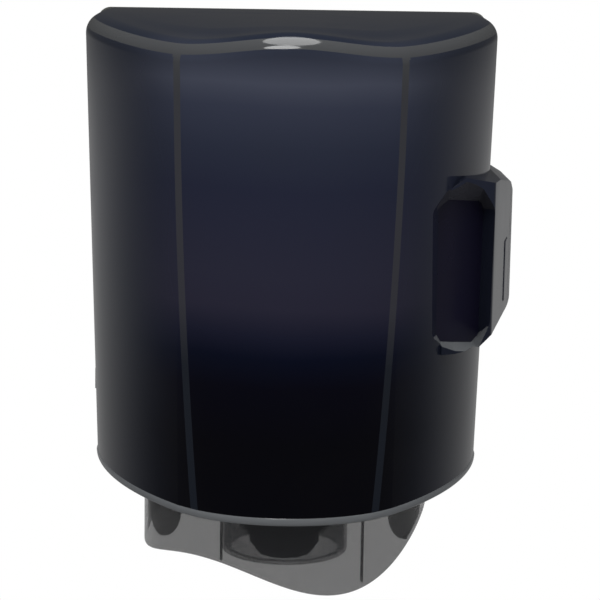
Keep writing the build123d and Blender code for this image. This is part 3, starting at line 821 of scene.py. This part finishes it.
def buildScrewTree():
    # a pan-head screw with a cross recess and a rolled thread, one on every point
    s = screw
    tree, given, put = geometryTree("crossScrew", {
        "Shank": s["shank"] * mm, "Core": s["core"] * mm, "Head": s["head"] * mm,
        "Height": s["headHeight"] * mm, "Length": 8.0 * mm, "Turns": 8, "Turn": (0.0, 0.0, 0.0)})

    def times(value, factor):
        return calc(tree, "MULTIPLY", value, factor)

    def shifted(geometry, z):
        sockets = {"Geometry": geometry, "Translation": vector(tree, Z=z)}
        return output(tree, "GeometryNodeTransform", sockets)

    def cone(top, bottom, depth, sides=20):
        sizes = {"Vertices": sides, "Radius Top": top, "Radius Bottom": bottom, "Depth": depth}
        return output(tree, "GeometryNodeMeshCone", sizes)

    # head: seat at z = 0, top at -Height
    head, height = given["Head"], given["Height"]
    brim, low = times(height, 0.55), times(height, -1.0)
    headParts = (shifted(cone(head, head, brim, 28), times(brim, -1.0)),
                 shifted(cone(head, times(head, 0.72), times(height, 0.45), 28), low))
    # thread: a row of double cones along the core
    core, length = given["Core"], given["Length"]
    pitch = calc(tree, "DIVIDE", length, calc(tree, "ADD", given["Turns"], 0.5))
    half = times(pitch, 0.5)
    ridge = joined(tree, (cone(core, given["Shank"], half, 16),
                          shifted(cone(given["Shank"], core, half, 16), times(half, -1.0))))
    step = vector(tree, Z=pitch)
    row = {"Count": given["Turns"], "Start Location": step, "Offset": step}
    thread = onPoints(tree, output(tree, "GeometryNodeMeshLine", row, mode="OFFSET"), ridge)
    # recess: two crossed bars taken out of the head
    wide, narrow, deep = s["slotLength"] * mm, s["slot"] * mm, s["slotDepth"] * mm
    bars = joined(tree, [output(tree, "GeometryNodeMeshCube", {"Size": size})
                         for size in ((wide, narrow, deep), (narrow, wide, deep))])
    whole = joined(tree, headParts, "GeometryNodeMeshBoolean", "Mesh 2", operation="UNION")
    crossed = {"Mesh 1": whole, "Mesh 2": shifted(bars, low)}
    recessed = output(tree, "GeometryNodeMeshBoolean", crossed, operation="DIFFERENCE")
    solid = joined(tree, (recessed, cone(core, core, length), thread))
    return finishTree(tree, given, put, onPoints(tree, given["Geometry"], solid, given["Turn"]))


screwTree = buildScrewTree()
trayScrewZ = cover["rim"] + screw["headHeight"]
keeperFront = latch["keeperY"][0]
# places, length and turn of each group
screwGroups = {
    "tray_screws": ([(*place, trayScrewZ) for place in trayScrewPlaces()], 12, (0, 0, 0)),
    "skirt_screws": ([(*polarPlace(81, 90 * k), -140.0) for k in range(4)], 8, (0, 0, 0)),
    "cup_screws": ([(*polarPlace(45.6, 45 + 90 * k), -132.0) for k in range(4)], 8, (math.pi, 0, 0)),
    "keeper_screws": ([(x, keeperFront, z) for x, z in latch["keeperScrews"]], 8, (-quarterTurn, 0, 0)),
    "block_screws": ([(x, -1.8, z) for x, z in latch["blockScrews"]], 8, (quarterTurn, 0, 0)),
    "frame_screws": ([(latch["postX"], -110.0, z) for z in latch["postZ"]], 8, (quarterTurn, 0, 0)),
}
pieces = {}
for node, (places, length, turn) in screwGroups.items():
    values = {"Length": length * mm, "Turns": length, "Turn": turn}
    pieces[node] = grow(node + "Made", screwTree, values, "steel", places)
print("screws made")


spring = {"wire": 0.8, "radius": 3.2, "turns": 5.0, "start": 115.0, "end": 127.0, "places": (-4.5, -29.5)}


def buildSpringTree():
    s = spring
    tree, given, put = geometryTree("coilSpring", {
        "Wire": s["wire"] * mm, "Radius": s["radius"] * mm, "Length": 10.0 * mm, "Turns": s["turns"],
        "Turn": (0.0, quarterTurn, 0.0)})
    coil = output(tree, "GeometryNodeCurveSpiral", {
        "Resolution": 28, "Rotations": given["Turns"], "Start Radius": given["Radius"],
        "End Radius": given["Radius"], "Height": given["Length"]})
    half = calc(tree, "MULTIPLY", given["Wire"], 0.5)
    wire = output(tree, "GeometryNodeCurvePrimitiveCircle", {"Resolution": 10, "Radius": half})
    sockets = {"Curve": coil, "Profile Curve": wire, "Fill Caps": True}
    tube = output(tree, "GeometryNodeCurveToMesh", sockets)
    return finishTree(tree, given, put, onPoints(tree, given["Geometry"], tube, given["Turn"]))


springReach = spring["end"] - spring["start"]
springPlaces = [(spring["start"] + spring["wire"] / 2, latch["buttonY"], z) for z in spring["places"]]
pieces["latch_springs"] = grow("latch_springsMade", buildSpringTree(),
                               {"Length": (springReach - spring["wire"]) * mm}, "steel", springPlaces)
print("springs made")


skirt = {
    "radius": 89.0, "wall": 2.2, "flange": 3.0, "flangeOut": 90.5, "flangeIn": 74.0, "flangeEdge": 0.4,
    "level": -179.5, "lean": -5.0, "twoA": -7.2, "twoB": 4.9, "three": -13.3, "around": 240, "along": 40,
    "ribAngles": (33.4, 149, 211, 333.8), "ribWide": 0.8, "ribDeep": 2.0, "ribSetIn": 1.5, "foot": 1.2,
    "padAngles": (62, 118, 242, 298), "padHalf": 22, "padArchZ": -152, "padReach": (-100, -70),
    "padThick": 1.5, "padSteps": 24, "padLowZ": -200, "belowZ": -260,
}


def skirtEdge(x, v):
    # height of the wavy edge at a place around the roll's axis
    s, r = skirt, skirt["radius"]
    two = s["twoA"] * (v * v - x * x) / r**2 - s["twoB"] * 2 * x * v / r**2
    three = s["three"] * (3 * x * v * v - x**3) / r**3
    return s["level"] - s["lean"] * v / r + two + three


def buildSkirtTree():
    # a round wall whose lower edge waves by one rule, with a rounded lip and ribs that end on the same wave
    s = skirt
    tree, given, put = geometryTree("waveSkirt", {
        "Radius": s["radius"], "Wall": s["wall"], "Top": tray["z"], "Level": s["level"], "Lean": s["lean"],
        "Two A": s["twoA"], "Two B": s["twoB"], "Three": s["three"], "Rib Wide": s["ribWide"],
        "Rib Deep": s["ribDeep"], "Around": s["around"], "Along": s["along"],
        "Axis": (0.0, tray["rollY"], 0.0)})

    def plus(a, b):
        return calc(tree, "ADD", a, b)

    def minus(a, b):
        return calc(tree, "SUBTRACT", a, b)

    def times(a, b):
        return calc(tree, "MULTIPLY", a, b)

    def wave(x, v):
        u, w = calc(tree, "DIVIDE", x, given["Radius"]), calc(tree, "DIVIDE", v, given["Radius"])
        uu, ww = times(u, u), times(w, w)
        two = times(given["Two A"], minus(ww, uu))
        cross = times(times(given["Two B"], 2.0), times(u, w))
        three = times(given["Three"], times(u, minus(times(ww, 3.0), uu)))
        height = minus(given["Level"], times(given["Lean"], w))
        return plus(minus(plus(height, two), cross), three)

    def placed(geometry, x, y, z):
        sockets = {"Geometry": geometry, "Position": vector(tree, X=x, Y=y, Z=z)}
        return output(tree, "GeometryNodeSetPosition", sockets)

    where = output(tree, "GeometryNodeInputPosition")
    px, py, pz = addNode(tree, "ShaderNodeSeparateXYZ", {0: where}).outputs
    grid = output(tree, "GeometryNodeMeshGrid", {
        "Size X": 1.0, "Size Y": 1.0, "Vertices X": given["Around"], "Vertices Y": given["Along"]})
    turn, share = times(plus(px, 0.5), 2 * math.pi), plus(py, 0.5)
    # across the wall: down the outside, round the lip, up the inside, closed at the top
    lip = ranged(tree, share, 0.4, 0.58, 0.0, math.pi)
    rise = calc(tree, "MAXIMUM", ranged(tree, share, 0.0, 0.4, 1.0, 0.0), ranged(tree, share, 0.58, 0.96))
    side = plus(calc(tree, "COSINE", lip), ranged(tree, share, 0.965, 1.0, 0.0, 2.0))
    half = times(given["Wall"], 0.5)
    radius = plus(minus(given["Radius"], half), times(half, side))
    x, v = times(radius, calc(tree, "SINE", turn)), times(radius, calc(tree, "COSINE", turn))
    edge = plus(wave(x, v), half)
    curl = times(half, calc(tree, "SINE", lip))
    height = times(rise, minus(given["Top"], edge))
    wallMesh = placed(grid, x, v, plus(minus(edge, curl), height))
    # ribs: unit boxes on the points that come in, turned to face outwards
    size = vector(tree, X=given["Rib Wide"], Y=given["Rib Deep"], Z=1.0)
    box = output(tree, "GeometryNodeMeshCube", {"Size": size, "Vertices Z": 12})
    facing = vector(tree, Z=calc(tree, "ARCTAN2", py, px))
    outwards = output(tree, "ShaderNodeVectorMath", {0: facing, 1: (0, 0, quarterTurn)}, operation="ADD")
    boxes = onPoints(tree, given["Geometry"], box, outwards)
    foot = plus(wave(px, py), s["foot"])
    ribHeight = minus(minus(given["Top"], 0.2), foot)
    ribMesh = placed(output(tree, "GeometryNodeRealizeInstances", {0: boxes}), px, py,
                     plus(foot, times(plus(pz, 0.5), ribHeight)))
    both = joined(tree, (wallMesh, ribMesh))
    seat = output(tree, "GeometryNodeTransform", {"Geometry": both, "Translation": given["Axis"]})
    small = output(tree, "GeometryNodeTransform", {"Geometry": seat, "Scale": (mm, mm, mm)})
    seam = output(tree, "GeometryNodeMergeByDistance", {"Geometry": small, "Distance": 1e-6})
    return finishTree(tree, given, put, seam)


def turned(name, profile, finish, steps=144, flutes=12):
    # a closed section turned about the roll's axis; the third number of a corner is the depth of its flutes
    bm = bmesh.new()
    loops = []
    for radius, z, flute in profile:
        ring = []
        for k in range(steps):
            turn = 2 * math.pi * k / steps
            reach = radius + flute * 0.5 * (math.cos(flutes * turn) - 1)
            ring.append((reach * math.sin(turn), tray["rollY"] - reach * math.cos(turn), z))
        loops.append(ringOfVerts(bm, ring))
    bridgeLoops(bm, loops + [loops[0]])
    piece = meshPiece(name, bm)
    paint(piece, finish)
    return piece


def turnAboutRoll(piece, degrees):
    turn = Matrix.Rotation(math.radians(degrees), 4, "Z")
    piece.data.transform(Matrix.Translation((0, tray["rollY"] * mm, 0)) @ turn)


def makePad(angle):
    # a thicker arched patch on the inside of the wall, cut off by the same wave
    s, half, steps = skirt, skirt["padHalf"], skirt["padSteps"]
    arch = [(-half, tray["z"]), (-half, s["padArchZ"])]
    for k in range(1, steps):
        turn = math.pi * k / steps
        arch.append((-half * math.cos(turn), s["padArchZ"] - half * math.sin(turn)))
    arch += [(half, s["padArchZ"]), (half, tray["z"])]
    piece = prism("skirtPad", arch, 1, *s["padReach"])
    turnAboutRoll(piece, angle)
    outer, inner = s["radius"] - s["wall"] + 0.3, s["radius"] - s["wall"] - s["padThick"]
    top, low = tray["z"] - 0.2, s["padLowZ"]
    section = [(outer, top, 0), (outer, low, 0), (inner, low, 0), (inner, top, 0)]
    shell = turned("padShell", section, "skirt", s["around"], 0)
    clip(piece, shell)
    bm = bmesh.new()
    span = s["radius"] + 10
    places = [span * (2 * k / steps - 1) for k in range(steps + 1)]
    rows = []
    for x in places:
        rows.append(ringOfVerts(bm, [(x, tray["rollY"] + v, skirtEdge(x, v) + s["foot"]) for v in places]))
    bridgeLoops(bm, rows, closed=False)
    rim = [row[0] for row in rows] + rows[-1][1:] + [row[-1] for row in rows[-2::-1]] + rows[0][-2:0:-1]
    floor = [bm.verts.new((vert.co.x, vert.co.y, s["belowZ"] * mm)) for vert in rim]
    bridgeLoops(bm, [rim, floor])
    bm.faces.new(floor)
    cut(piece, rawPiece("wave", bm))
    paint(piece, "skirt")
    piece.data.set_sharp_from_angle(angle=math.radians(30))
    return piece


def makeSkirt():
    s = skirt
    # the tree works in millimetres and shrinks its result, so the ribs' points are enlarged first
    reach = (s["radius"] - s["wall"] - s["ribSetIn"]) / mm
    turns = [math.radians(angle) for angle in s["ribAngles"]]
    ribPlaces = [(reach * math.sin(turn), -reach * math.cos(turn), 0) for turn in turns]
    wall = grow("skirtWall", buildSkirtTree(), {}, "skirt", ribPlaces, 35)
    top, low, edge = tray["z"], tray["z"] - s["flange"], s["flangeEdge"]
    flange = turned("skirtFlange", [
        (s["flangeOut"], top, 0), (s["flangeOut"], low + edge, 0), (s["flangeOut"] - edge, low, 0),
        (s["flangeIn"], low, 0), (s["flangeIn"], top, 0)], "skirt", s["around"])
    return [wall, flange] + [makePad(angle) for angle in s["padAngles"]]


skirtPieces = makeSkirt()
print("skirt made")

cup = {"radius": 40.0, "wall": 1.8, "flange": 50.0, "low": -193.0, "seat": -134.0, "lip": 34.0}


def cupProfile():
    # the flange rests on the tray, and the lip turns in below
    out, low, lip, seat, flange = (cup[name] for name in ("radius", "low", "lip", "seat", "flange"))
    inner, floor = out - cup["wall"], low + cup["wall"]
    return [(out - 0.4, low + 0.35, 0), (out - 1.2, low, 0), (lip + 0.5, low, 0), (lip, low + 0.5, 0),
            (lip, floor - 0.4, 0), (lip + 0.4, floor, 0), (inner - 0.6, floor, 0), (inner, floor + 0.6, 0),
            (inner, seat + 2, 0), (flange - 0.4, seat + 2, 0), (flange, seat + 1.6, 0), (flange, seat, 0),
            (out + 0.8, seat, 0), (out, seat - 0.8, 0), (out, low + 1.2, 0)]


pieces["nozzle_cup"] = turned("clearCup", cupProfile(), "frosted")

funnel = {"wide": 37.2, "narrow": 28.0, "wall": 1.6, "floor": 1.5, "low": -180.0, "top": -132.0,
          "flute": 1.6, "flange": 42.0, "mouth": 22.6, "rings": 10}


def funnelProfile():
    f = funnel
    top, low, floor = f["top"], f["low"], f["low"] + f["floor"]
    outer, inner = [], []
    for k in range(f["rings"] + 1):
        t = k / f["rings"]
        radius, flute = f["wide"] + (f["narrow"] - f["wide"]) * t, f["flute"] * t
        outer.append((radius, top + (low - top) * t, flute))
        inner.append((radius - f["wall"], top + (floor - top) * t, flute))
    inner[0] = (inner[0][0], top + f["floor"], 0)
    bottom = [(f["mouth"], low, 0), (f["mouth"], floor, 0)]
    rim = [(f["flange"], top + f["floor"], 0), (f["flange"], top, 0)]
    return outer + bottom + inner[::-1] + rim


pieces["nozzle_funnel"] = turned("towelFunnel", funnelProfile(), "frosted")

tip = {"radius": 22.0, "flute": 1.2, "low": -195.5, "seat": -178.5, "flange": 24.4, "bore": 8.0,
       "slit": 0.8, "slits": 6, "slitReach": (6, 15), "shoulder": 6, "ringIn": 1.5, "ringHigh": 2}


def makeTip():
    radius, flute, low, seat, bore = (tip[name] for name in ("radius", "flute", "low", "seat", "bore"))
    shoulder = low + tip["shoulder"]
    profile = [(tip["flange"], seat + 2, 0), (tip["flange"], seat, 0), (radius, seat, 0),
               (radius, seat - 0.6, flute), (radius, shoulder + 0.8, flute),
               (radius - 0.4, shoulder, flute), (radius - 4.6, low + 0.5, 1.0), (radius - 5.4, low, 0.9),
               (bore + 0.4, low, 0), (bore, low + 0.4, 0), (bore, low + 1.5, 0), (radius - 3, seat + 2, 0)]
    piece = turned("nozzleTipMade", profile, "tip", 192)
    (start, end), half = tip["slitReach"], tip["slit"] / 2
    for k in range(tip["slits"]):
        slit = boxTool((start, -half, low - 1), (end, half, low + 5))
        turnAboutRoll(slit, 360 / tip["slits"] * k)
        cut(piece, slit)
    piece.data.set_sharp_from_angle(angle=math.radians(30))
    return piece


def ringProfile():
    inner, low = tip["radius"] - tip["ringIn"], tip["seat"] + 2
    high = low + tip["ringHigh"]
    return [(tip["flange"], high, 0), (tip["flange"], low, 0), (inner, low, 0), (inner, high - 0.4, 0),
            (inner + 0.4, high, 0)]


pieces["nozzle_tip"] = makeTip()
pieces["nozzle_ring"] = turned("clampRing", ringProfile(), "dark", 96)
print("nozzle made")


def besideBody(startX):
    # everything on the boss's side of the given place
    return boxTool((startX, -100, -200), (200, 0, 200))


def makeLatchBlock():
    # the rear part of the boss: a closed shell with pillars for its own screws and the keeper's
    seam, wall, shank, depth = boss["seamY"], latch["blockWall"], screw["shank"], latch["screwDepth"]
    front, back = latch["keeperY"]
    piece = bossSolid(0, -wall, seam + 1)
    clip(piece, besideBody(latch["blockX"]))
    inside = bossSolid(wall, -2 * wall, seam)
    clip(inside, besideBody(latch["blockX"] + wall))
    cut(piece, inside)
    for places, start in ((latch["keeperScrews"], back), (latch["blockScrews"], latch["pillarY"])):
        for place in places:
            fuse(piece, rodTool(place, latch["pillar"], start, -wall - 0.2, 1))
    for place in latch["keeperScrews"]:
        cut(piece, rodTool(place, shank, front, back + depth, 1))
    for place in latch["blockScrews"]:
        cut(piece, rodTool(place, shank, -depth, 0, 1))
    return piece


def makeKeeper():
    # the plate behind the seam whose two windows the hooks reach through
    front, back = latch["keeperY"]
    (left, right), half = latch["slotX"], latch["slotHalf"]
    piece = bossSolid(latch["blockWall"] + latch["gap"], back, front)
    clip(piece, besideBody(latch["keeperX"]))
    for z in latch["slotZ"]:
        cut(piece, boxTool((left, front - 2, z - half), (right, back + 2, z + half)))
    for place in latch["keeperScrews"]:
        cut(piece, rodTool(place, screw["shank"] + screw["play"], front - 2, back + 2, 1))
    return piece


def makeLatchFrame():
    # a tray on edge that carries the springs: cut out of one block, with two pegs
    (x0, y0, z0), (x1, y1, z1) = latch["frame"]
    sheet, arm = latch["sheet"], latch["arm"]
    piece = boxTool((x0, y0, z0), (x1, y1, z1))
    cut(piece, boxTool((x0 + sheet, y0 + sheet, z0 + arm), (x1 + 1, y1 + 1, z1 - arm)))
    cut(piece, boxTool((x0 + sheet, latch["armBack"], z0 - 1), (x1 + 1, y1 + 1, z1 + 1)))
    for z in latch["pegZ"]:
        fuse(piece, rodTool((latch["buttonY"], z), latch["peg"], x0 + 1, latch["pegEnd"], 0))
    for z in latch["postZ"]:
        hole = rodTool((latch["postX"], z), screw["shank"] + screw["play"], y0 - 1, y0 + sheet + 1, 1)
        cut(piece, hole)
    return piece


for node, make, finish in (("latch_block", makeLatchBlock, "cover"), ("latch_keeper", makeKeeper, "dark"),
                           ("latch_frame", makeLatchFrame, "dark")):
    piece = make()
    piece.name = node + "Made"
    keepCreases(piece, latch["sharpAngle"])
    paint(piece, finish)
    pieces[node] = piece
for node in ("tray", "rear_housing", "latch_button", "latch_hooks", "hinge_pin_upper", "hinge_pin_lower"):
    pieces[node] = smoothCopy(node, lookUp(nodeFinish, node, "steel"))
print("smooth pieces made")


bodies = {
    "housing": ("rear_housing", "latch_block", "latch_keeper", "keeper_screws", "block_screws",
                "hinge_pin_upper", "hinge_pin_lower"),
    "latch": ("latch_button", "latch_hooks"),
}
pieces["cover"] = coverPiece
for node, piece in pieces.items():
    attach(piece, lookUp(bodies, node, "cover"))
    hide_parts(node)
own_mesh(pieces["latch_springs"])
for piece in skirtPieces:
    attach(piece, "cover")
    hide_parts("skirt")


camera = {"distance": 1.35, "height": 0.1732, "tilt": 9.56, "roll": 0.86, "focalPixels": 1987.0,
          "frame": 600.0, "sensor": 36.0, "shift": 0.0203}
studio = {"floorZ": -0.62, "floorSize": 6, "floorKept": 0.3, "floorGone": 0.8, "light": 0.5,
          "mirrored": 0.06, "mirroredBack": 0.2, "behind": (0.35, 0.95), "below": (0.03, -0.12)}


def addCamera():
    data = bpy.data.cameras.new("camera")
    data.sensor_width = camera["sensor"]
    data.lens = camera["sensor"] * camera["focalPixels"] / camera["frame"]
    data.shift_x = camera["shift"]
    eye = addObject("camera", data)
    tilt = Matrix.Rotation(math.radians(90 - camera["tilt"]), 4, "X")
    roll = Matrix.Rotation(math.radians(camera["roll"]), 4, "Z")
    eye.matrix_world = Matrix.Translation((0.0, -camera["distance"], camera["height"])) @ tilt @ roll
    bpy.context.scene.camera = eye


def addLamp(name, place, target, size, power):
    data = bpy.data.lights.new(name, "AREA")
    data.shape = "ELLIPSE"
    data.size, data.size_y = size
    data.energy = power
    lamp = addObject(name, data)
    aim = (Vector(target) - Vector(place)).to_track_quat("-Z", "Y")
    lamp.matrix_world = Matrix.Translation(place) @ aim.to_matrix().to_4x4()
    lamp.visible_camera = False


def mixedShader(tree, share, first, second):
    return output(tree, "ShaderNodeMixShader", {0: share, 1: first, 2: second})


def floorMaterial():
    # pale paper that keeps the shadow of the object and runs into the white backdrop
    material, tree = newMaterial("paperFloor")
    sockets = {"Base Color": (0.94, 0.94, 0.94, 1), "Roughness": 0.9}
    paper = output(tree, "ShaderNodeBsdfPrincipled", sockets)
    reach = addNode(tree, "ShaderNodeVectorMath", {0: objectPlace(tree)}, operation="LENGTH")
    edge = eased(tree, reach.outputs["Value"], studio["floorKept"], studio["floorGone"])
    blend = mixedShader(tree, edge, paper, output(tree, "ShaderNodeBsdfTransparent"))
    addNode(tree, "ShaderNodeOutputMaterial", {0: blend})
    return material


def addStage():
    bm = bmesh.new()
    bmesh.ops.create_grid(bm, x_segments=1, y_segments=1, size=studio["floorSize"])
    for vert in bm.verts:
        vert.co.z = studio["floorZ"]
    floor = meshPiece("floor", bm)
    floor.data.materials.append(floorMaterial())


def addWorld():
    # white where the camera looks straight at it, a plain soft grey as light, and in reflections
    # a dark room that is lighter behind the object, below eye level
    world = bpy.data.worlds.new("studio")
    bpy.context.scene.world = world
    world.use_nodes = True
    tree = world.node_tree
    tree.nodes.clear()

    def backdrop(strength):
        return output(tree, "ShaderNodeBackground", {"Color": (1, 1, 1, 1), "Strength": strength})

    paths = addNode(tree, "ShaderNodeLightPath").outputs
    seen = calc(tree, "MAXIMUM", paths["Is Camera Ray"], paths["Is Transmission Ray"])
    look = addNode(tree, "ShaderNodeTexCoord").outputs["Generated"]
    _, y, z = addNode(tree, "ShaderNodeSeparateXYZ", {0: look}).outputs
    back = calc(tree, "MULTIPLY", eased(tree, y, *studio["behind"]), eased(tree, z, *studio["below"]))
    mirrored = calc(tree, "MULTIPLY_ADD", back, studio["mirroredBack"], studio["mirrored"])
    light = mixedShader(tree, paths["Is Glossy Ray"], backdrop(studio["light"]), backdrop(mirrored))
    addNode(tree, "ShaderNodeOutputWorld", {0: mixedShader(tree, seen, light, backdrop(1.0))})


addCamera()
addStage()
addLamp("keyLamp", (-0.35, -2.4, 2.3), (0, -0.1, 0), (1.4, 1.0), 30.0)
addLamp("topLamp", (0.0, -0.45, 1.4), (0, -0.15, 0), (0.8, 1.3), 13.0)
addWorld()
bpy.context.scene.view_settings.view_transform = "Standard"

print("done")
